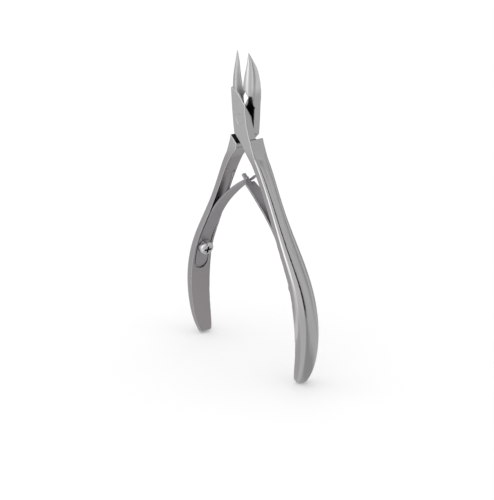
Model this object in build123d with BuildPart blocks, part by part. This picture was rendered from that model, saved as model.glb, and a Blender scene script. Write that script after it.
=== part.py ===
from build123d import *
from math import cos, sin, radians
import os

# ---- driving dimensions, mm; the tool stands with its jaws up, X across, -Y is the front ----
overall_length = 110.4  # handle ends to jaw tips, jaws open
handle_spread = 62.4  # widest distance between the inner faces of the handles
handle_depth = 8.4  # largest handle width along Y
handle_thickness = 4.0  # largest handle thickness, inner face to crown
handle_end_depth = 4.2  # handle width along Y at its rounded end
joint_width = 8.4  # lap width across X
joint_thickness = 5.7  # both laps together
jaw_reach = 23.4  # pivot axis to jaw tips
jaw_half_angle = 7.5  # degrees that each jaw stands open
shoulder_gap = 2.1  # between a lap's lower edge and the other lever's shoulder
pocket_depth = 1.0  # spring pocket in a handle's inner face
spring_width = 5.3
spring_tip_width = 4.0
spring_thickness = 0.8
rivet_radius = 1.6
screw_shank_radius = 1.25
screw_head_radius = 2.75
screw_head_height = 2.7

# ---- clearances, mm ----
lap_gap = 0.06  # between the sliding lap faces
rivet_clearance = 0.03  # radial, rivet in the back lever
edge_gap = 0.03  # each cutting edge stops this far from the middle plane when closed
spring_seat_gap = 0.09  # under the spring, on the pocket floor
pocket_side_gap = 0.3  # each side of the spring in its pocket
fork_clearance = 0.25  # each side of the tongue in the fork
head_gap = 0.16  # screw head above the spring

# ---- derived sizes ----
half = joint_thickness / 2
half_spread = handle_spread / 2
drop = overall_length - jaw_reach * cos(radians(jaw_half_angle))  # pivot height over the ends
across = joint_width / 8.4
pivot_plane = Plane(origin=(0, 0, drop), x_dir=(1, 0, 0), z_dir=(0, -1, 0))


def at_joint(points):
    """Joint outline points, which widen with the lap."""
    return [(x * across, z) for x, z in points]


# ---- inner face of the right handle, seen from the front, measured from the pivot ----
root = (5.9 * across, -14.2)
reach_x = half_spread - root[0]
reach_z = drop + root[1]
# fraction of the handle's outward and downward reach past its root
inner_shape = [(0.106, 0.052), (0.288, 0.162), (0.593, 0.354), (0.850, 0.511), (0.968, 0.655)]
inner_shape += [(1.0, 0.764), (0.953, 0.897), (0.868, 0.989)]
inner_points = at_joint([(0.2, -8.2), (2.7, -11.0)]) + [root]
inner_points += [(root[0] + fx * reach_x, root[1] - fz * reach_z) for fx, fz in inner_shape]
inner_curve = Spline(*[(x, 0, drop + z) for x, z in inner_points], mode=Mode.PRIVATE)

# ---- handle sections: place along the inner face, half depth, side wall, thickness ----
end_half = handle_end_depth / 2
full_half = handle_depth / 2
handle_sections = [
    (0.036, half, 2.4, 2.6),
    (0.102, half, 2.2, 2.7),
    (0.204, 0.96 * half, 1.8, 0.67 * handle_thickness),
    (0.336, half, 1.5, 0.68 * handle_thickness),
    (0.479, 0.84 * full_half, 1.4, 0.74 * handle_thickness),
    (0.611, 0.94 * full_half, 1.3, 0.86 * handle_thickness),
    (0.733, full_half, 1.3, handle_thickness),
    (0.866, 0.93 * full_half, 1.2, 0.92 * handle_thickness),
    (0.955, 0.5 * (full_half + end_half), 1.1, 0.8 * handle_thickness),
    (1.000, end_half, 0.9, 0.62 * handle_thickness),
]


def section_plane(place):
    """Plane across the right handle: local x is +Y, local y points out of the handle's back."""
    return Plane(
        origin=inner_curve.position_at(place),
        x_dir=(0, 1, 0),
        z_dir=inner_curve.tangent_at(place),
    )


with BuildPart() as handle:
    for place, half_depth, wall, thick in handle_sections:
        with BuildSketch(section_plane(place)):
            with BuildLine():
                Line((-half_depth, 0), (half_depth, 0))
                Line((half_depth, 0), (half_depth, wall))
                Spline(
                    (half_depth, wall),
                    (0, thick),
                    (-half_depth, wall),
                    tangents=[(0, 1), (0, -1)],
                )
                Line((-half_depth, wall), (-half_depth, 0))
            make_face()
    loft()
    # rounded handle end
    end_face = handle.faces().sort_by(Axis.Z)[0]
    fillet(end_face.edges(), 0.85)

# ---- joint outlines of the front lever ----
lap_left = at_joint([(-4.8, 10.5), (-4.4, 3.3), (-3.45, -5.2)])
lap_right = at_joint([(8.6, -13.5), (6.1, -7.9), (4.05, -2.2), (3.4, 6.6)])
lap_top = at_joint([(3.4, 6.6), (2.4, 8.2), (0.2, 9.0), (-2.3, 9.4)])
lap_foot = at_joint([(-3.45, -5.2), (0.2, -8.2)])


def slanted_plane(side_height):
    """Slanted parting plane: side_height over the pivot at the front edge of the lap's right side."""
    return Plane(
        origin=(4.0 * across, -half, drop + side_height),
        z_dir=(0.95, 1.6, 1.0),
    )


with BuildPart() as front_lap:
    with BuildSketch(pivot_plane.offset(lap_gap / 2)):
        with BuildLine():
            Spline(*lap_left)
            Line(*lap_foot)
            Spline(lap_foot[1], *inner_points[1:3])
            Line(inner_points[2], lap_right[0])
            Spline(*lap_right)
            Spline(*lap_top)
            Line(lap_top[-1], lap_left[0])
        make_face()
    extrude(amount=half - lap_gap / 2)
    split(bisect_by=slanted_plane(4.9), keep=Keep.BOTTOM)

# ---- full-thickness root of the right handle, below the other lap's foot ----
shoulder = Line(
    (-lap_foot[1][0], lap_foot[1][1]),
    (-lap_foot[0][0], lap_foot[0][1]),
    mode=Mode.PRIVATE,
)
step = shoulder.tangent_at(0).rotate(Axis.Z, -90) * shoulder_gap
shoulder_ends = [shoulder.position_at(t) + step for t in (0.3, 1.22)]
with BuildPart() as handle_root:
    with BuildSketch(pivot_plane.offset(-half)):
        with BuildLine():
            Polyline(*shoulder_ends, lap_right[1], lap_right[0], inner_points[2], inner_points[1])
            Line(inner_points[1], shoulder_ends[0])
        make_face()
    extrude(amount=2 * half - lap_gap / 2)

# ---- jaws, drawn closed with the pivot at the origin ----
# share of the reach, front Y, bevel width, edge Y, outer X, back X, back Y (every Y over half the joint)
jaw_sections = [
    (0.20, -0.94, 0.45, 0.50, 3.35, 3.60, 1.00),
    (0.32, -0.94, 0.45, 0.40, 3.55, 3.85, 0.99),
    (0.44, -0.94, 0.45, 0.05, 3.35, 4.00, 0.92),
    (0.56, -0.90, 0.45, -0.25, 2.90, 3.85, 0.80),
    (0.68, -0.78, 0.45, -0.25, 2.35, 3.35, 0.65),
    (0.80, -0.60, 0.42, -0.22, 1.65, 2.45, 0.42),
    (0.90, -0.46, 0.32, -0.24, 0.95, 1.35, 0.10),
    (1.00, -0.36, 0.10, -0.32, 0.14, 0.20, -0.27),
]
with BuildPart() as closed_jaw:
    for reach, front_y, bevel, edge_y, outer_x, back_x, back_y in jaw_sections:
        with BuildSketch(Plane.XY.offset(reach * jaw_reach)):
            with BuildLine():
                Spline(
                    (bevel * across, front_y * half),
                    (outer_x * across, (front_y + 0.12 * (back_y - front_y)) * half),
                    (back_x * across, back_y * half),
                )
                Line((back_x * across, back_y * half), (edge_gap, edge_y * half))
                Line((edge_gap, edge_y * half), (bevel * across, front_y * half))
            make_face()
    loft()
    # no part of a jaw stands out of the lap faces
    with Locations((0, 0, jaw_reach)):
        Box(4 * joint_width, joint_thickness, 2 * jaw_reach, mode=Mode.INTERSECT)

# both jaws turned open about the pivot
right_jaw_place = Location((0, 0, drop), (0, jaw_half_angle, 0))
half_turn = Location((0, 0, 0), (0, 0, 180))

# the front half of the right jaw stops at the slanted shoulder, clear of the front lap
with BuildPart() as front_shoulder_cut:
    with Locations((0, (lap_gap - joint_thickness) / 2, drop)):
        Box(6 * joint_width, joint_thickness, 2 * jaw_reach)
    split(bisect_by=slanted_plane(9.7), keep=Keep.BOTTOM)

# ---- pivot rivet, ground flush ----
with BuildPart() as pivot_rivet:
    with BuildSketch(pivot_plane.offset(-half)):
        Circle(rivet_radius)
    extrude(amount=joint_thickness)

with BuildPart() as loose_rivet_bore:
    with BuildSketch(pivot_plane.offset(-half)):
        Circle(rivet_radius + rivet_clearance)
    extrude(amount=joint_thickness)

# ---- spring pocket and screw hole, in the right handle ----
screw_place = 0.606
pocket_foot = 0.684
pocket_half_width = spring_width / 2 + pocket_side_gap
pocket_sections = [
    (0.178, 0.76, 0.02),
    (0.255, 0.78, 0.45 * pocket_depth),
    (0.356, 0.84, 0.85 * pocket_depth),
    (0.448, 0.94, pocket_depth),
    (0.530, 1.0, pocket_depth),
    (0.570, 1.0, pocket_depth),
    (screw_place, 1.0, pocket_depth),
    (0.642, 1.0, pocket_depth),
    (pocket_foot, 1.0, pocket_depth),
]


def seat_plane(place):
    """Plane on the inner face of the right handle: local x is +Y, local z points into the handle."""
    across_handle = section_plane(place)
    return Plane(origin=across_handle.origin, x_dir=(0, 1, 0), z_dir=across_handle.y_dir)


with BuildPart() as pocket:
    for place, share, depth in pocket_sections:
        with BuildSketch(section_plane(place)):
            with Locations((0, depth - 2 * pocket_depth)):
                Rectangle(2 * share * pocket_half_width, 4 * pocket_depth)
    loft()
    # rounded lower end
    with BuildSketch(seat_plane(pocket_foot).offset(-3 * pocket_depth)):
        Circle(pocket_half_width)
    extrude(amount=4 * pocket_depth)

screw_seat = seat_plane(screw_place)
spring_back = pocket_depth - spring_seat_gap
spring_face = spring_back - spring_thickness
screw_hole_end = pocket_depth + 0.48 * handle_thickness
with BuildPart() as screw_hole:
    with BuildSketch(screw_seat):
        Circle(screw_shank_radius)
    extrude(amount=screw_hole_end)

with BuildPart() as left_jaw:
    add(closed_jaw.part.moved(right_jaw_place))
    mirror(about=Plane.YZ, mode=Mode.REPLACE)
    add(front_shoulder_cut.part.moved(half_turn), mode=Mode.SUBTRACT)

with BuildPart() as right_jaw:
    add(closed_jaw.part.moved(right_jaw_place))
    add(front_shoulder_cut.part, mode=Mode.SUBTRACT)

# ---- levers ----
with BuildPart() as front_lever:
    add(front_lap.part)
    add(handle_root.part)
    add(handle.part)
    add(left_jaw.part)
    add(pivot_rivet.part, mode=Mode.SUBTRACT)
    add(pocket.part, mode=Mode.SUBTRACT)
    add(screw_hole.part, mode=Mode.SUBTRACT)

with BuildPart() as back_lever:
    add(front_lap.part.moved(half_turn))
    add(handle_root.part.moved(half_turn))
    add(handle.part.moved(half_turn))
    add(right_jaw.part)
    add(loose_rivet_bore.part, mode=Mode.SUBTRACT)
    add(pocket.part.moved(half_turn), mode=Mode.SUBTRACT)
    add(screw_hole.part.moved(half_turn), mode=Mode.SUBTRACT)

# ---- leaf springs: path of the right spring's middle, from its foot to its tip ----
spring_middle = (spring_back + spring_face) / 2
crossing = Vector(0, 0, drop - 0.2475 * drop)
spring_bow = 3.0
seat_places = (0.677, 0.642, screw_place, 0.57)
seat_points = [section_plane(place).from_local_coords((0, spring_middle, 0)) for place in seat_places]
spring_foot = seat_points[0]
spring_seat = seat_points[-1]
chord = spring_seat - crossing
bow_way = chord.normalized().cross(Vector(0, 1, 0))
spring_tip = crossing + Vector(-2.3, 0, 1.5)


def bowed_point(share):
    """Point of the bowed leaf, share of the way from the crossing to its seat."""
    return crossing + chord * share + bow_way * (spring_bow * sin(radians(180 * share)))


leaf_points = seat_points + [bowed_point(share) for share in (0.8, 0.6, 0.4, 0.2)]
leaf_points += [crossing, spring_tip]
leaf_path = Spline(*leaf_points, mode=Mode.PRIVATE)


def leaf_plane(place):
    """Plane across the right spring: local x is +Y, local y points to the handle."""
    return Plane(
        origin=leaf_path.position_at(place),
        x_dir=(0, 1, 0),
        z_dir=leaf_path.tangent_at(place) * -1,
    )


# place along the leaf from its foot, width
leaf_sections = [(place, spring_width) for place in (0.0, 0.06, 0.12, 0.18, 0.25, 0.35)]
leaf_sections += [(0.55, 0.97 * spring_width), (0.75, 0.9 * spring_width)]
leaf_sections += [(0.90, spring_tip_width), (1.0, spring_tip_width)]
with BuildPart() as leaf:
    for place, width in leaf_sections:
        with BuildSketch(leaf_plane(place)):
            Rectangle(width, spring_thickness)
    loft()
    # rounded foot
    with BuildSketch(Plane(origin=spring_foot, x_dir=(0, 1, 0), z_dir=leaf_plane(0).y_dir)):
        Circle(spring_width / 2)
    extrude(amount=spring_thickness / 2, both=True)

tongue_width = 0.38 * spring_tip_width
fork_slot_width = tongue_width + 2 * fork_clearance
root_step = 1.3  # the fork and the tongue begin this far before the crossing
cut_length = 12.0
with BuildPart() as fork_slot:
    with Locations(crossing + Vector(root_step - cut_length / 2, 0, 0)):
        Box(cut_length, fork_slot_width, cut_length)
with BuildPart() as tongue_sides:
    with Locations(
        crossing + Vector(root_step - cut_length / 2, (tongue_width + spring_width) / 2, 0),
        crossing + Vector(root_step - cut_length / 2, -(tongue_width + spring_width) / 2, 0),
    ):
        Box(cut_length, spring_width, cut_length)

with BuildPart() as spring_screw_hole:
    with BuildSketch(screw_seat):
        Circle(screw_shank_radius + 0.2)
    extrude(amount=2 * pocket_depth, both=True)

with BuildPart() as right_spring:
    add(leaf.part)
    add(tongue_sides.part, mode=Mode.SUBTRACT)
    add(spring_screw_hole.part, mode=Mode.SUBTRACT)

with BuildPart() as left_spring:
    add(leaf.part.moved(half_turn))
    add(fork_slot.part.moved(half_turn), mode=Mode.SUBTRACT)
    add(spring_screw_hole.part.moved(half_turn), mode=Mode.SUBTRACT)

# ---- spring screw, in the right handle: its head stands on the spring, towards the middle ----
head_seat = seat_plane(screw_place).offset(spring_face - head_gap)
with BuildPart() as right_spring_screw:
    with BuildSketch(head_seat):
        Circle(screw_shank_radius)
    extrude(amount=screw_hole_end - 0.1 - spring_face + head_gap)
    with BuildSketch(head_seat):
        Circle(screw_head_radius)
    extrude(amount=-screw_head_height)
    head_top = right_spring_screw.faces().sort_by(Axis(head_seat.origin, head_seat.z_dir))[0]
    fillet(head_top.edges(), 0.42 * screw_head_height)
    with BuildSketch(head_seat.offset(-screw_head_height)):
        Rectangle(0.8, 1.1 * screw_head_radius)
        Rectangle(1.1 * screw_head_radius, 0.8)
    extrude(amount=0.5 * screw_head_height, mode=Mode.SUBTRACT)

with BuildPart() as left_spring_screw:
    add(right_spring_screw.part.moved(half_turn))

# ---- write every piece ----
os.makedirs("parts", exist_ok=True)
for name, piece in (
    ("front_lever", front_lever),
    ("back_lever", back_lever),
    ("pivot_rivet", pivot_rivet),
    ("left_spring", left_spring),
    ("right_spring", right_spring),
    ("left_spring_screw", left_spring_screw),
    ("right_spring_screw", right_spring_screw),
):
    piece.part.label = name
    export_step(piece.part, f"parts/{name}.step")
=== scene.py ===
import math

import bmesh
import bpy
import numpy as np
from bpy.props import FloatProperty, FloatVectorProperty, IntProperty, PointerProperty
from mathutils import Matrix, Vector


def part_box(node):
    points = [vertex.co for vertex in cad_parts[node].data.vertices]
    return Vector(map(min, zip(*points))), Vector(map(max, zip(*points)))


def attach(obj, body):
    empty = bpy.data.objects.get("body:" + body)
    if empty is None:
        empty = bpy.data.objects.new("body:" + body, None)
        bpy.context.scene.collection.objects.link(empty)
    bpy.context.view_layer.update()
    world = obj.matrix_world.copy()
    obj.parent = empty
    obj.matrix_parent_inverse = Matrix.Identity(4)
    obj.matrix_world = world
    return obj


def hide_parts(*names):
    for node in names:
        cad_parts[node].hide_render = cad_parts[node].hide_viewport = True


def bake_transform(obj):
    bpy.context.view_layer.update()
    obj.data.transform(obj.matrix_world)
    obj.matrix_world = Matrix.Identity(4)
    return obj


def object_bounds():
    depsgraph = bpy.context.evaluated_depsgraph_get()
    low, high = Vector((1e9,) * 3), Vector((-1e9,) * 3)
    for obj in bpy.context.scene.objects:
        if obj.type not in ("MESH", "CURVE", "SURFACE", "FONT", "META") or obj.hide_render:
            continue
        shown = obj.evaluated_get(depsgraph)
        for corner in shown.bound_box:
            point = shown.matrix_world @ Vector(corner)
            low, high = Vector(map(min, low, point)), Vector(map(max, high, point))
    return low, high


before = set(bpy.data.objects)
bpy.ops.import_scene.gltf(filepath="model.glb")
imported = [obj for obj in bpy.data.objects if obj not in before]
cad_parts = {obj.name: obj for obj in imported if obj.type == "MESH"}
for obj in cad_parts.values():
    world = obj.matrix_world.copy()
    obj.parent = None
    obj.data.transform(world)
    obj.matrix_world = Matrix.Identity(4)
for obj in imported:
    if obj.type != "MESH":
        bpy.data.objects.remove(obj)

bl_info = {
    "name": "Cuticle nipper",
    "version": (1, 0, 0),
    "blender": (4, 5, 0),
    "location": "3D View > Sidebar > Nipper",
    "description": "Builds the finished look of a double-spring cuticle nipper round its frame",
    "category": "Object",
}

MM = 0.001

cad_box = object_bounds()
rivet_low, rivet_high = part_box("pivot_rivet")
PIVOT_HEIGHT = (rivet_low[2] + rivet_high[2]) / 2
RIVET_RADIUS = (rivet_high[2] - rivet_low[2]) / 2
HALF_JOINT = (rivet_high[1] - rivet_low[1]) / 2


# ------------------------------------------------------------------ settings


class NipperLeverSettings(bpy.types.PropertyGroup):
    """Surface and colour of the two levers and the rivet."""

    step: FloatProperty(
        name="Surface step",
        description="Size of the surface cells of the levers, in millimetres",
        default=0.205,
        min=0.1,
        max=0.5,
    )
    softening: IntProperty(
        name="Edge softening",
        description="How many times the ground edges are relaxed",
        default=3,
        min=0,
        max=12,
    )
    color: FloatVectorProperty(
        name="Steel colour",
        description="Colour of the polished steel",
        subtype="COLOR",
        default=(0.60, 0.595, 0.60),
        min=0.0,
        max=1.0,
    )
    # this colour is also laid on the front faces of the handles, as painted shade
    inner_color: FloatVectorProperty(
        name="Inner face colour",
        description="Colour of the unpolished inner faces of the handles",
        subtype="COLOR",
        default=(0.43, 0.405, 0.42),
        min=0.0,
        max=1.0,
    )
    polished: FloatProperty(
        name="Polished roughness",
        description="Roughness of the outer faces of the handles",
        default=0.08,
        min=0.0,
        max=1.0,
    )
    crown_radius: FloatProperty(
        name="Crown radius",
        description="Radius of the gently rounded outer faces of the handles",
        subtype="DISTANCE",
        unit="LENGTH",
        default=8 * MM,
        min=1 * MM,
    )
    satin: FloatProperty(
        name="Satin roughness",
        description="Roughness of the ground lap, jaw and inner faces",
        default=0.33,
        min=0.0,
        max=1.0,
    )


class NipperSpringSettings(bpy.types.PropertyGroup):
    """Shape detail and colour of the leaf springs."""

    step: FloatProperty(
        name="Surface step",
        description="Size of the surface cells of the springs, in millimetres",
        default=0.11,
        min=0.08,
        max=0.3,
    )
    softening: IntProperty(
        name="Edge softening",
        description="How many times the stamped edges are relaxed",
        default=3,
        min=0,
        max=12,
    )
    color: FloatVectorProperty(
        name="Spring colour",
        description="Colour of the satin spring steel",
        subtype="COLOR",
        default=(0.46, 0.445, 0.46),
        min=0.0,
        max=1.0,
    )
    roughness: FloatProperty(
        name="Roughness",
        description="Roughness of the spring steel",
        default=0.34,
        min=0.0,
        max=1.0,
    )


class NipperScrewSettings(bpy.types.PropertyGroup):
    """Detail and colour of the spring screws."""

    step: FloatProperty(
        name="Surface step",
        description="Size of the surface cells of the screws, in millimetres",
        default=0.09,
        min=0.04,
        max=0.3,
    )
    softening: IntProperty(
        name="Edge softening",
        description="How many times the edges of head and recess are relaxed",
        default=2,
        min=0,
        max=12,
    )
    color: FloatVectorProperty(
        name="Screw colour",
        description="Colour of the bright screw steel",
        subtype="COLOR",
        default=(0.74, 0.735, 0.74),
        min=0.0,
        max=1.0,
    )


class NipperStageSettings(bpy.types.PropertyGroup):
    """Floor, lights and camera."""

    floor_color: FloatVectorProperty(
        name="Floor colour",
        description="Colour of the floor",
        subtype="COLOR",
        default=(0.95, 0.95, 0.95),
        min=0.0,
        max=1.0,
    )
    room_light: FloatProperty(
        name="Room light",
        description="Strength of the even light from all round",
        default=1.08,
        min=0.0,
    )
    tent_radius: FloatProperty(
        name="Tent radius",
        description="Radius of the shaded tent that the steel mirrors",
        subtype="DISTANCE",
        unit="LENGTH",
        default=0.3,
    )
    tent_height: FloatProperty(
        name="Tent height",
        description="Height of the tent wall",
        subtype="DISTANCE",
        unit="LENGTH",
        default=0.9,
    )
    azimuth: FloatProperty(
        name="Camera azimuth",
        description="Angle of the camera round the tool, from the front towards its right",
        subtype="ANGLE",
        default=math.radians(54.34),
    )
    elevation: FloatProperty(
        name="Camera elevation",
        description="Angle of the camera above the middle of the tool",
        subtype="ANGLE",
        default=math.radians(18.89),
    )
    distance: FloatProperty(
        name="Camera distance",
        description="Distance from the camera to the point it looks at",
        subtype="DISTANCE",
        unit="LENGTH",
        default=0.4985,
    )
    target: FloatVectorProperty(
        name="Camera target",
        description="Point that the camera looks at",
        subtype="TRANSLATION",
        unit="LENGTH",
        default=(-0.00143, 0.00023, 0.0396),
    )
    focal: FloatProperty(
        name="Focal length",
        description="Lens focal length in millimetres",
        default=102.38,
        min=10.0,
    )
    tilt: FloatProperty(
        name="Camera tilt",
        description="How far the camera is rolled about its own axis",
        subtype="ANGLE",
        default=math.radians(-1.1),
    )


# ------------------------------------------------------------------ small helpers


def link_object(name, data):
    """A scene object for finished data."""
    piece = bpy.data.objects.new(name, data)
    bpy.context.scene.collection.objects.link(piece)
    return piece


def evaluated_mesh(piece, name):
    """The mesh of an object with its modifiers, which are then removed."""
    bpy.context.view_layer.update()
    graph = bpy.context.evaluated_depsgraph_get()
    mesh = bpy.data.meshes.new_from_object(piece.evaluated_get(graph))
    mesh.name = name
    piece.modifiers.clear()
    return mesh


def smoothstep(values, start, end):
    """0 before start, 1 after end, smooth between."""
    share = np.clip((values - start) / (end - start), 0.0, 1.0)
    return share * share * (3 - 2 * share)


# ------------------------------------------------------------------ materials


def new_material(name, metallic=0.0):
    """A node material with nothing but its output and a Principled shader."""
    material = bpy.data.materials.new(name)
    material.use_nodes = True
    nodes = material.node_tree.nodes
    nodes.clear()
    output = nodes.new("ShaderNodeOutputMaterial")
    shader = nodes.new("ShaderNodeBsdfPrincipled")
    shader.inputs["Metallic"].default_value = metallic
    material.node_tree.links.new(shader.outputs["BSDF"], output.inputs["Surface"])
    return material, shader


def noise(tree, stretch, scale, detail):
    """Noise in object coordinates, stretched along the axes."""
    nodes, links = tree.nodes, tree.links
    coordinates = nodes.new("ShaderNodeTexCoord")
    mapping = nodes.new("ShaderNodeMapping")
    mapping.inputs["Scale"].default_value = stretch
    texture = nodes.new("ShaderNodeTexNoise")
    texture.inputs["Scale"].default_value = scale
    texture.inputs["Detail"].default_value = detail
    links.new(coordinates.outputs["Object"], mapping.inputs["Vector"])
    links.new(mapping.outputs["Vector"], texture.inputs["Vector"])
    return texture.outputs["Fac"]


def object_coordinates(tree):
    """The X, Y and Z of a point of a piece."""
    coordinates = tree.nodes.new("ShaderNodeTexCoord")
    parts = tree.nodes.new("ShaderNodeSeparateXYZ")
    tree.links.new(coordinates.outputs["Object"], parts.inputs["Vector"])
    return parts


def spread(tree, value, low, high, start=0.0, end=1.0):
    """A value from start..end moved to low..high."""
    node = tree.nodes.new("ShaderNodeMapRange")
    node.inputs["From Min"].default_value = start
    node.inputs["From Max"].default_value = end
    node.inputs["To Min"].default_value = low
    node.inputs["To Max"].default_value = high
    tree.links.new(value, node.inputs["Value"])
    return node.outputs["Result"]


def combine(tree, operation, *values):
    """Values put together by a maths node; each may be a socket or a plain number."""
    node = tree.nodes.new("ShaderNodeMath")
    node.operation = operation
    for socket, value in zip(node.inputs, values):
        if isinstance(value, (int, float)):
            socket.default_value = value
        else:
            tree.links.new(value, socket)
    return node.outputs["Value"]


def attribute(tree, name):
    """A value stored on the mesh."""
    node = tree.nodes.new("ShaderNodeAttribute")
    node.attribute_name = name
    return node.outputs["Fac"]


def color_between(tree, value, first, second):
    """Colour ramp between two colours."""
    node = tree.nodes.new("ShaderNodeValToRGB")
    node.color_ramp.elements[0].color = (*first, 1)
    node.color_ramp.elements[1].color = (*second, 1)
    tree.links.new(value, node.inputs["Fac"])
    return node


def add_bump(tree, shader, height, distance, strength):
    """Surface relief from a height value."""
    node = tree.nodes.new("ShaderNodeBump")
    node.inputs["Distance"].default_value = distance
    node.inputs["Strength"].default_value = strength
    tree.links.new(height, node.inputs["Height"])
    tree.links.new(node.outputs["Normal"], shader.inputs["Normal"])
    return node


def crowned_normal(tree, radius):
    """The surface direction, turned outwards across the handles like a rounded crown."""
    nodes, links = tree.nodes, tree.links
    parts = object_coordinates(tree)
    slope = combine(tree, "MULTIPLY", parts.outputs["Y"], 1 / radius)
    turn = nodes.new("ShaderNodeCombineXYZ")
    links.new(combine(tree, "MULTIPLY", slope, attribute(tree, "crown")), turn.inputs["Y"])
    total = nodes.new("ShaderNodeVectorMath")
    links.new(nodes.new("ShaderNodeNewGeometry").outputs["Normal"], total.inputs[0])
    links.new(turn.outputs["Vector"], total.inputs[1])
    unit = nodes.new("ShaderNodeVectorMath")
    unit.operation = "NORMALIZE"
    links.new(total.outputs["Vector"], unit.inputs[0])
    return unit.outputs["Vector"]


# how the painted shade and painted light stored on a lever scale its colour: darkest painted
# shade, none, and brightest painted light
PAINTED_SHADE_AND_LIGHT_FACTORS = (0.04, 1.0, 1.5)
NEUTRAL_SHADE_AND_LIGHT = 0.5


def lever_steel(settings):
    """Steel that is satin-ground on lap, jaws and inner faces and polished on the handles, with
    painted shade and painted light multiplied into its colour.
    """
    material, shader = new_material("lever_steel_finish", metallic=1.0)
    tree = material.node_tree
    satin = attribute(tree, "satin")
    grain = noise(tree, stretch=(1.0, 1.0, 0.03), scale=7000.0, detail=4.0)
    cloud = noise(tree, stretch=(1.0, 1.0, 0.5), scale=130.0, detail=3.0)
    clouding = spread(tree, cloud, low=0.0, high=0.12)
    # the inner colour: the inner faces' own darker colour, and painted shade on the front faces
    # of the handles
    shade = combine(tree, "MULTIPLY_ADD", attribute(tree, "inner"), 0.9, clouding)
    plain = color_between(tree, shade, settings.color, settings.inner_color)
    least, middle, most = ((value, value, value) for value in PAINTED_SHADE_AND_LIGHT_FACTORS)
    # painted shade darkens the notch and the shoulder steps nearly to black, painted light
    # brightens the jaws
    painted_shade_and_light = color_between(tree, attribute(tree, "painted_shade_and_light"), least, most)
    painted_shade_and_light.color_ramp.elements.new(NEUTRAL_SHADE_AND_LIGHT).color = (*middle, 1)
    shade_and_light_mix = tree.nodes.new("ShaderNodeMix")
    shade_and_light_mix.data_type = "RGBA"
    shade_and_light_mix.blend_type = "MULTIPLY"
    shade_and_light_mix.inputs["Factor"].default_value = 1.0
    tree.links.new(plain.outputs["Color"], shade_and_light_mix.inputs["A"])
    tree.links.new(painted_shade_and_light.outputs["Color"], shade_and_light_mix.inputs["B"])
    tree.links.new(shade_and_light_mix.outputs["Result"], shader.inputs["Base Color"])
    finish = spread(tree, satin, settings.polished, settings.satin)
    for pattern in (cloud, grain):
        finish = combine(tree, "ADD", finish, spread(tree, pattern, low=-0.015, high=0.015))
    tree.links.new(finish, shader.inputs["Roughness"])
    relief = combine(tree, "MULTIPLY", grain, spread(tree, satin, low=0.1, high=1.0))
    bump = add_bump(tree, shader, relief, distance=0.004 * MM, strength=0.35)
    tree.links.new(crowned_normal(tree, settings.crown_radius), bump.inputs["Normal"])
    return material


def spring_steel(settings):
    """Darker satin steel with a grain along the leaf."""
    material, shader = new_material("spring_steel_finish", metallic=1.0)
    tree = material.node_tree
    grain = noise(tree, stretch=(0.15, 1.0, 0.1), scale=6000.0, detail=4.0)
    cloud = noise(tree, stretch=(1.0, 1.0, 1.0), scale=160.0, detail=3.0)
    darker = [0.86 * value for value in settings.color]
    ramp = color_between(tree, combine(tree, "MULTIPLY", grain, cloud), darker, settings.color)
    ramp.color_ramp.elements[0].position = 0.12
    ramp.color_ramp.elements[1].position = 0.4
    tree.links.new(ramp.outputs["Color"], shader.inputs["Base Color"])
    uneven = spread(tree, grain, low=-0.05, high=0.05)
    rough = combine(tree, "ADD", uneven, settings.roughness)
    tree.links.new(rough, shader.inputs["Roughness"])
    add_bump(tree, shader, grain, distance=0.004 * MM, strength=0.4)
    return material


def screw_steel(settings):
    """Bright screw steel, duller inside the recess, where painted shade also darkens its colour.
    """
    material, shader = new_material("screw_steel_finish", metallic=1.0)
    tree = material.node_tree
    recess = attribute(tree, "recess")
    # painted shade inside the cross recess
    recess_painted_shade = [0.2 * value for value in settings.color]
    ramp = color_between(tree, recess, settings.color, recess_painted_shade)
    tree.links.new(ramp.outputs["Color"], shader.inputs["Base Color"])
    cloud = noise(tree, stretch=(1.0, 1.0, 1.0), scale=900.0, detail=3.0)
    bright = spread(tree, cloud, low=0.09, high=0.2)
    rough = combine(tree, "MULTIPLY_ADD", recess, 0.4, bright)
    tree.links.new(rough, shader.inputs["Roughness"])
    add_bump(tree, shader, cloud, distance=0.01 * MM, strength=0.3)
    return material


# shade of the tent wall against the angle round the tool, degrees from +X towards +Y
TENT_BANDS = (
    (-180, 0.62),
    (-150, 0.66),
    (-144, 0.77),
    (-124, 0.68),
    (-114, 1.0),
    (-108, 1.8),
    (-92, 1.8),
    (-84, 1.0),
    (-74, 0.8),
    (-50, 0.75),
    (-20, 0.74),
    (-6, 0.78),
    (-1, 0.3),
    (3, 0.02),
    (12, 0.02),
    (16, 0.3),
    (21, 0.6),
    (36, 0.66),
    (46, 0.56),
    (54, 0.4),
    (63, 0.62),
    (72, 0.66),
    (80, 0.6),
    (92, 0.42),
    (108, 0.3),
    (125, 0.24),
    (145, 0.35),
    (165, 0.5),
    (180, 0.62),
)
# near the floor the bands fade towards one even shade
EVEN_SHADE = 0.6
EVEN_SHARE = 0.65
EVEN_HEIGHT = 60 * MM


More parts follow.
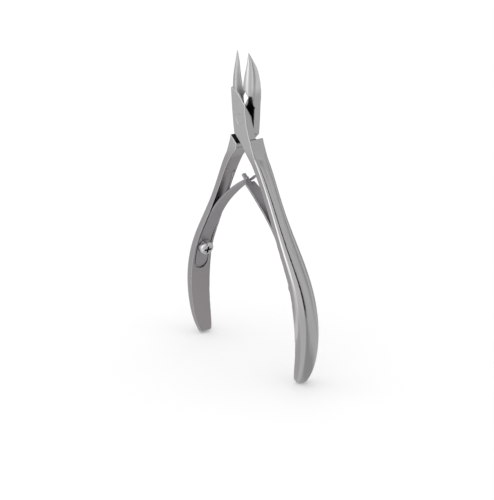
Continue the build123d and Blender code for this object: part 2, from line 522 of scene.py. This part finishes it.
def tent_material():
    """Light that changes round the tool in soft bands."""
    material = bpy.data.materials.new("tent_light")
    material.use_nodes = True
    tree = material.node_tree
    tree.nodes.clear()
    output = tree.nodes.new("ShaderNodeOutputMaterial")
    light = tree.nodes.new("ShaderNodeEmission")
    tree.links.new(light.outputs["Emission"], output.inputs["Surface"])
    parts = object_coordinates(tree)
    angle = combine(tree, "ARCTAN2", parts.outputs["Y"], parts.outputs["X"])
    turn = spread(tree, angle, low=0.0, high=1.0, start=-math.pi, end=math.pi)
    ramp = tree.nodes.new("ShaderNodeValToRGB")
    ramp.color_ramp.interpolation = "EASE"
    stops = ramp.color_ramp.elements
    top = max(shade for _, shade in TENT_BANDS)
    for index, (degrees, shade) in enumerate(TENT_BANDS):
        place = (degrees + 180) / 360
        stop = stops[index] if index < 2 else stops.new(place)
        stop.position = place
        stop.color = (*[shade / top] * 3, 1)
    tree.links.new(turn, ramp.inputs["Fac"])
    fade = spread(tree, parts.outputs["Z"], low=EVEN_SHARE, high=0.0, end=EVEN_HEIGHT)
    even = tree.nodes.new("ShaderNodeMix")
    even.data_type = "RGBA"
    even.inputs["B"].default_value = (*[EVEN_SHADE / top] * 3, 1)
    tree.links.new(fade, even.inputs["Factor"])
    tree.links.new(ramp.outputs["Color"], even.inputs["A"])
    tree.links.new(even.outputs["Result"], light.inputs["Color"])
    light.inputs["Strength"].default_value = top
    return material


# ------------------------------------------------------------------ finished pieces

# points of a CAD mesh closer than this many millimetres are one point
MERGE_WITHIN = 0.0005


def softened_copy(node, step, softening):
    """A finely and evenly meshed copy of a CAD piece, its edges slightly rounded.

    The work is done in millimetres, because in metres Remesh takes no cells as small as these.
    """
    name = node + "_finished"
    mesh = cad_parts[node].data.copy()
    mesh.transform(Matrix.Scale(1 / MM, 4))
    work = bmesh.new()
    work.from_mesh(mesh)
    bmesh.ops.remove_doubles(work, verts=work.verts, dist=MERGE_WITHIN)
    work.to_mesh(mesh)
    work.free()
    piece = link_object(name, mesh)
    surface = link_object(name + "_surface", mesh.copy())
    remesh = piece.modifiers.new("cells", "REMESH")
    remesh.mode = "VOXEL"
    remesh.voxel_size = step
    wrap = piece.modifiers.new("surface", "SHRINKWRAP")
    wrap.target = surface
    if softening:
        relax = piece.modifiers.new("edges", "SMOOTH")
        relax.factor = 0.5
        relax.iterations = softening
    finished = evaluated_mesh(piece, name)
    bpy.data.objects.remove(surface)
    piece.data = finished
    finished.transform(Matrix.Scale(MM, 4))
    finished.materials.clear()
    finished.polygons.foreach_set("use_smooth", [True] * len(finished.polygons))
    return piece


def vertex_arrays(mesh):
    """Places and normals of the points of a mesh."""
    count = len(mesh.vertices)
    places = np.empty(3 * count)
    normals = np.empty(3 * count)
    mesh.vertices.foreach_get("co", places)
    mesh.vertices.foreach_get("normal", normals)
    return places.reshape(-1, 3), normals.reshape(-1, 3)


def store(mesh, name, values):
    """Keep one value per point on a mesh."""
    layer = mesh.attributes.new(name, "FLOAT", "POINT")
    layer.data.foreach_set("value", np.asarray(values, dtype=np.float32))


# Where each finish, painted shade and painted light of a lever fades in, as start and end.
# Heights are taken from the pivot unless they are named otherwise, and a facing is the share of
# the normal along an axis.
GROUND_HEIGHTS = (-16 * MM, -9 * MM)
INWARD_FACING = (0.55, 0.8)
# the front faces of the handles take the inner colour at this share, as painted shade
FRONT_FACING = (0.85, 0.97)
FRONT_PAINTED_SHADE = 0.7
CROWN_FACING = (0.2, 0.5)
CROWN_HEIGHTS_FROM_FLOOR = (2 * MM, 32 * MM)
CROWN_AT_HANDLE_END = 0.3
# where painted light brightens the jaw faces turned towards +X
JAW_LIGHT_HEIGHTS = (8 * MM, 12 * MM)
JAW_LIGHT_FACING = (0.75, 0.95)

# where painted shade, nearly black, darkens the notch between a lap and a jaw and the steps of
# the shoulders below the laps
NOTCH_BOTTOM = (-3.0 * MM, -2.4 * MM)
NOTCH_TOP = (8.3 * MM, 8.9 * MM)
NOTCH_FACING = (0.2, 0.35)
NOTCH_DEPTH = (0.4 * MM, 0.8 * MM)
NOTCH_WIDTH = (5.1 * MM, 5.35 * MM)
SHOULDER_BOTTOM = (-11.0 * MM, -10.5 * MM)
SHOULDER_TOP = (-4.5 * MM, -4.0 * MM)
SHOULDER_FACING = (0.62, 0.72)


def mark_finish(mesh, jaw_side):
    """Store on a lever where it is satin-ground, where it takes the darker inner colour (its own
    on the inner faces, painted shade on the front faces), where it is crowned, and its painted
    shade and painted light.
    """
    places, normals = vertex_arrays(mesh)
    height = places[:, 2] - PIVOT_HEIGHT
    side = np.sign(places[:, 0])
    ground = smoothstep(height, *GROUND_HEIGHTS)
    handle = 1 - ground
    inward = handle * smoothstep(-normals[:, 0] * side, *INWARD_FACING)
    # front faces of the handles, darkened with the inner colour as painted shade
    front = handle * smoothstep(np.abs(normals[:, 1]), *FRONT_FACING)
    crown = handle * smoothstep(normals[:, 0] * side, *CROWN_FACING)
    full = smoothstep(places[:, 2], *CROWN_HEIGHTS_FROM_FLOOR)
    crown *= CROWN_AT_HANDLE_END + (1 - CROWN_AT_HANDLE_END) * full
    store(mesh, "satin", np.maximum(ground, inward))
    store(mesh, "inner", np.maximum(inward, FRONT_PAINTED_SHADE * front))
    store(mesh, "crown", crown)
    # painted shade, nearly black, deep in the notch and on the shoulder steps
    notch = notch_painted_shade(places * jaw_side, normals * jaw_side, height)
    painted_shade = np.maximum(notch, shoulder_painted_shade(normals, height))
    # painted light: the jaw faces turned towards +X are brightened
    jaw = smoothstep(height, *JAW_LIGHT_HEIGHTS) * smoothstep(normals[:, 0], *JAW_LIGHT_FACING)
    store(mesh, "painted_shade_and_light", NEUTRAL_SHADE_AND_LIGHT * (1 - painted_shade) + (1 - NEUTRAL_SHADE_AND_LIGHT) * jaw)


def notch_painted_shade(places, normals, height):
    """1 on the faces deep in the notch between the lap and the root of a jaw, which painted shade
    darkens nearly to black.
    """
    level = smoothstep(height, *NOTCH_BOTTOM) * (1 - smoothstep(height, *NOTCH_TOP))
    facing = smoothstep(-normals[:, 1], *NOTCH_FACING)
    deep = 1 - smoothstep(places[:, 1], *NOTCH_DEPTH)
    inside = (1 - smoothstep(places[:, 0], *NOTCH_WIDTH)) * (places[:, 0] > 0)
    return level * facing * deep * inside


def shoulder_painted_shade(normals, height):
    """1 on the steps of the shoulders under the laps, which painted shade darkens nearly to
    black.
    """
    level = smoothstep(height, *SHOULDER_BOTTOM) * (1 - smoothstep(height, *SHOULDER_TOP))
    return level * smoothstep(normals[:, 2], *SHOULDER_FACING)


def screw_axis(mesh):
    """Middle of a screw and the direction its head faces, towards the middle of the tool.

    Of the three main directions of its normals, the axis is the one unlike the other two.
    """
    spread_of_normals = np.zeros((3, 3))
    middle = np.zeros(3)
    total = 0.0
    for polygon in mesh.polygons:
        normal = np.array(polygon.normal)
        spread_of_normals += polygon.area * np.outer(normal, normal)
        middle += polygon.area * np.array(polygon.center)
        total += polygon.area
    middle /= total
    values, vectors = np.linalg.eigh(spread_of_normals)
    gaps = [abs(2 * values[i] - values[(i + 1) % 3] - values[(i + 2) % 3]) for i in range(3)]
    axis = vectors[:, int(np.argmax(gaps))]
    if axis[0] * middle[0] > 0:
        axis = -axis
    return middle, axis


# how far below the crown of the head a surface counts as recess, and the part of the head's
# radius within which the recess lies
RECESS_DEPTH = (0.06 * MM, 0.12 * MM)
RECESS_REACH = (0.66, 0.72)
RECESS_FACING = -0.5
CROWN_RINGS = 40


def mark_recess(mesh):
    """Store on a screw where its surface lies inside the cross recess."""
    places, normals = vertex_arrays(mesh)
    middle, axis = screw_axis(mesh)
    along = (places - middle) @ axis
    across = np.linalg.norm(places - middle - np.outer(along, axis), axis=1)
    head_radius = across.max()
    share = across / head_radius
    ring = np.minimum((share * CROWN_RINGS).astype(int), CROWN_RINGS - 1)
    crown = np.full(CROWN_RINGS, -np.inf)
    np.maximum.at(crown, ring, along)
    sunk = smoothstep(crown[ring] - along, *RECESS_DEPTH)
    inside = 1 - smoothstep(share, *RECESS_REACH)
    store(mesh, "recess", sunk * inside * (normals @ axis > RECESS_FACING))


# the broken edge of the rivet, and how far its front end is peened over the rim of its bore
RIVET_EDGE = 0.05 * MM
RIVET_FLARE = 0.1 * MM


def rivet_mesh(segments=96):
    """Rivet ground flush, with its front end peened over the rim of its bore."""
    profile = [
        (0.0, -HALF_JOINT),
        (RIVET_RADIUS + RIVET_FLARE - RIVET_EDGE, -HALF_JOINT),
        (RIVET_RADIUS + RIVET_FLARE, -HALF_JOINT + RIVET_EDGE),
        (RIVET_RADIUS, -HALF_JOINT + 4 * RIVET_EDGE),
        (RIVET_RADIUS, HALF_JOINT - RIVET_EDGE),
        (RIVET_RADIUS - RIVET_EDGE, HALF_JOINT),
        (0.0, HALF_JOINT),
    ]
    work = bmesh.new()
    points = [work.verts.new((radius, y, 0)) for radius, y in profile]
    edges = [work.edges.new(pair) for pair in zip(points, points[1:])]
    bmesh.ops.spin(
        work,
        geom=points + edges,
        cent=(0, 0, 0),
        axis=(0, 1, 0),
        angle=2 * math.pi,
        steps=segments,
    )
    bmesh.ops.remove_doubles(work, verts=work.verts, dist=0.001 * MM)
    bmesh.ops.recalc_face_normals(work, faces=work.faces)
    bmesh.ops.translate(work, verts=work.verts, vec=(0, 0, PIVOT_HEIGHT))
    mesh = bpy.data.meshes.new("pivot_rivet_finished")
    work.to_mesh(mesh)
    work.free()
    store(mesh, "satin", np.ones(len(mesh.vertices)))
    store(mesh, "painted_shade_and_light", np.full(len(mesh.vertices), NEUTRAL_SHADE_AND_LIGHT))
    return mesh


# ------------------------------------------------------------------ operators


class NIPPER_OT_levers(bpy.types.Operator):
    """Build the two levers with soft ground edges"""

    bl_idname = "nipper.levers"
    bl_label = "Levers"

    def execute(self, context):
        settings = context.scene.nipper_levers
        finish = lever_steel(settings)
        for name, body, jaw_side in (("front_lever", "front", -1), ("back_lever", "back", 1)):
            piece = softened_copy(name, settings.step, settings.softening)
            mark_finish(piece.data, jaw_side)
            piece.data.materials.append(finish)
            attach(piece, body)
            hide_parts(name)
        return {"FINISHED"}


class NIPPER_OT_rivet(bpy.types.Operator):
    """Build the pivot rivet"""

    bl_idname = "nipper.rivet"
    bl_label = "Pivot rivet"

    def execute(self, context):
        piece = link_object("pivot_rivet_finished", rivet_mesh())
        piece.data.materials.append(bpy.data.materials["lever_steel_finish"])
        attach(piece, "front")
        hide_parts("pivot_rivet")
        return {"FINISHED"}


class NIPPER_OT_springs(bpy.types.Operator):
    """Build the two leaf springs, which run from their root to their crossed tips"""

    bl_idname = "nipper.springs"
    bl_label = "Leaf springs"

    def execute(self, context):
        settings = context.scene.nipper_springs
        finish = spring_steel(settings)
        for name, body, leaf, side in (
            ("left_spring", "back", "left_leaf", -1),
            ("right_spring", "front", "right_leaf", 1),
        ):
            piece = softened_copy(name, settings.step, settings.softening)
            piece.data.materials.append(finish)
            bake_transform(piece)
            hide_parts(name)
        return {"FINISHED"}


class NIPPER_OT_screws(bpy.types.Operator):
    """Build the two pan-head spring screws"""

    bl_idname = "nipper.screws"
    bl_label = "Spring screws"

    def execute(self, context):
        settings = context.scene.nipper_screws
        finish = screw_steel(settings)
        for name, body in (("left_spring_screw", "back"), ("right_spring_screw", "front")):
            piece = softened_copy(name, settings.step, settings.softening)
            mark_recess(piece.data)
            piece.data.materials.append(finish)
            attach(piece, body)
            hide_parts(name)
        return {"FINISHED"}


# how far the floor and the foot of the tent lie below the lowest point of the tool
FLOOR_GAP = 0.2 * MM
TENT_GAP = 0.1 * MM


class NIPPER_OT_stage(bpy.types.Operator):
    """Set the floor, the lights and the camera"""

    bl_idname = "nipper.stage"
    bl_label = "Stage"

    def execute(self, context):
        settings = context.scene.nipper_stage
        self.lay_floor(settings)
        self.put_tent(settings)
        self.light_room(context, settings)
        self.place_camera(context, settings)
        context.scene.view_settings.view_transform = "Standard"
        return {"FINISHED"}

    def lay_floor(self, settings, reach=6.0):
        """Large pale floor under the handle ends."""
        mesh = bpy.data.meshes.new("floor")
        level = cad_box[0][2] - FLOOR_GAP
        corners = ((-reach, -reach), (reach, -reach), (reach, reach), (-reach, reach))
        mesh.from_pydata([(x, y, level) for x, y in corners], [], [(0, 1, 2, 3)])
        material, shader = new_material("floor_paper")
        shader.inputs["Base Color"].default_value = (*settings.floor_color, 1)
        shader.inputs["Roughness"].default_value = 0.9
        shader.inputs["Specular IOR Level"].default_value = 0.0
        mesh.materials.append(material)
        link_object("floor", mesh)

    def put_tent(self, settings, segments=96):
        """Shaded bands round the tool that only reflections see."""
        work = bmesh.new()
        radius = settings.tent_radius
        bmesh.ops.create_circle(work, cap_ends=True, radius=radius, segments=segments)
        rim = [edge for edge in work.edges if edge.is_boundary]
        wall = bmesh.ops.extrude_edge_only(work, edges=rim)
        top = [item for item in wall["geom"] if isinstance(item, bmesh.types.BMVert)]
        bmesh.ops.translate(work, verts=top, vec=(0, 0, settings.tent_height))
        mesh = bpy.data.meshes.new("tent")
        work.to_mesh(mesh)
        work.free()
        mesh.materials.append(tent_material())
        tent = link_object("tent", mesh)
        tent.location.z = cad_box[0][2] - TENT_GAP
        tent.visible_camera = False
        tent.visible_diffuse = False
        tent.visible_shadow = False
        tent.visible_transmission = False
        tent.visible_volume_scatter = False

    def light_room(self, context, settings):
        """Even white light from all round."""
        world = bpy.data.worlds.new("room")
        world.use_nodes = True
        background = world.node_tree.nodes["Background"]
        background.inputs["Color"].default_value = (1, 1, 1, 1)
        background.inputs["Strength"].default_value = settings.room_light
        context.scene.world = world

    def place_camera(self, context, settings):
        """Long-lens camera at the right front of the tool."""
        flat = math.cos(settings.elevation)
        x = math.sin(settings.azimuth) * flat
        y = -math.cos(settings.azimuth) * flat
        toward = Vector((x, y, math.sin(settings.elevation)))
        data = bpy.data.cameras.new("camera")
        data.lens = settings.focal
        data.sensor_width = 36
        data.clip_start = 0.01
        camera = link_object("camera", data)
        look = toward.to_track_quat("Z", "Y").to_matrix().to_4x4()
        roll = Matrix.Rotation(settings.tilt, 4, "Z")
        place = Matrix.Translation(Vector(settings.target) + toward * settings.distance)
        camera.matrix_world = place @ look @ roll
        context.scene.camera = camera


class NIPPER_PT_panel(bpy.types.Panel):
    """Buttons and sizes of the nipper"""

    bl_label = "Nipper"
    bl_idname = "NIPPER_PT_panel"
    bl_space_type = "VIEW_3D"
    bl_region_type = "UI"
    bl_category = "Nipper"

    def draw(self, context):
        for group in SETTINGS:
            settings = getattr(context.scene, group)
            for name in settings.__annotations__:
                self.layout.prop(settings, name)
        for operator in BUILD_ORDER:
            self.layout.operator(operator)


BUILD_ORDER = ("nipper.levers", "nipper.rivet", "nipper.springs", "nipper.screws", "nipper.stage")
SETTINGS = {
    "nipper_levers": NipperLeverSettings,
    "nipper_springs": NipperSpringSettings,
    "nipper_screws": NipperScrewSettings,
    "nipper_stage": NipperStageSettings,
}
CLASSES = (
    *SETTINGS.values(),
    NIPPER_OT_levers,
    NIPPER_OT_rivet,
    NIPPER_OT_springs,
    NIPPER_OT_screws,
    NIPPER_OT_stage,
    NIPPER_PT_panel,
)


def register():
    """Register the classes and their settings."""
    for cls in CLASSES:
        bpy.utils.register_class(cls)
    for name, group in SETTINGS.items():
        setattr(bpy.types.Scene, name, PointerProperty(type=group))


def unregister():
    """Remove the classes and their settings."""
    for name in SETTINGS:
        delattr(bpy.types.Scene, name)
    for cls in reversed(CLASSES):
        bpy.utils.unregister_class(cls)


def main():
    """Build the whole nipper."""
    register()
    for operator in BUILD_ORDER:
        group, name = operator.split(".")
        getattr(getattr(bpy.ops, group), name)()


if __name__ == "__main__":
    main()
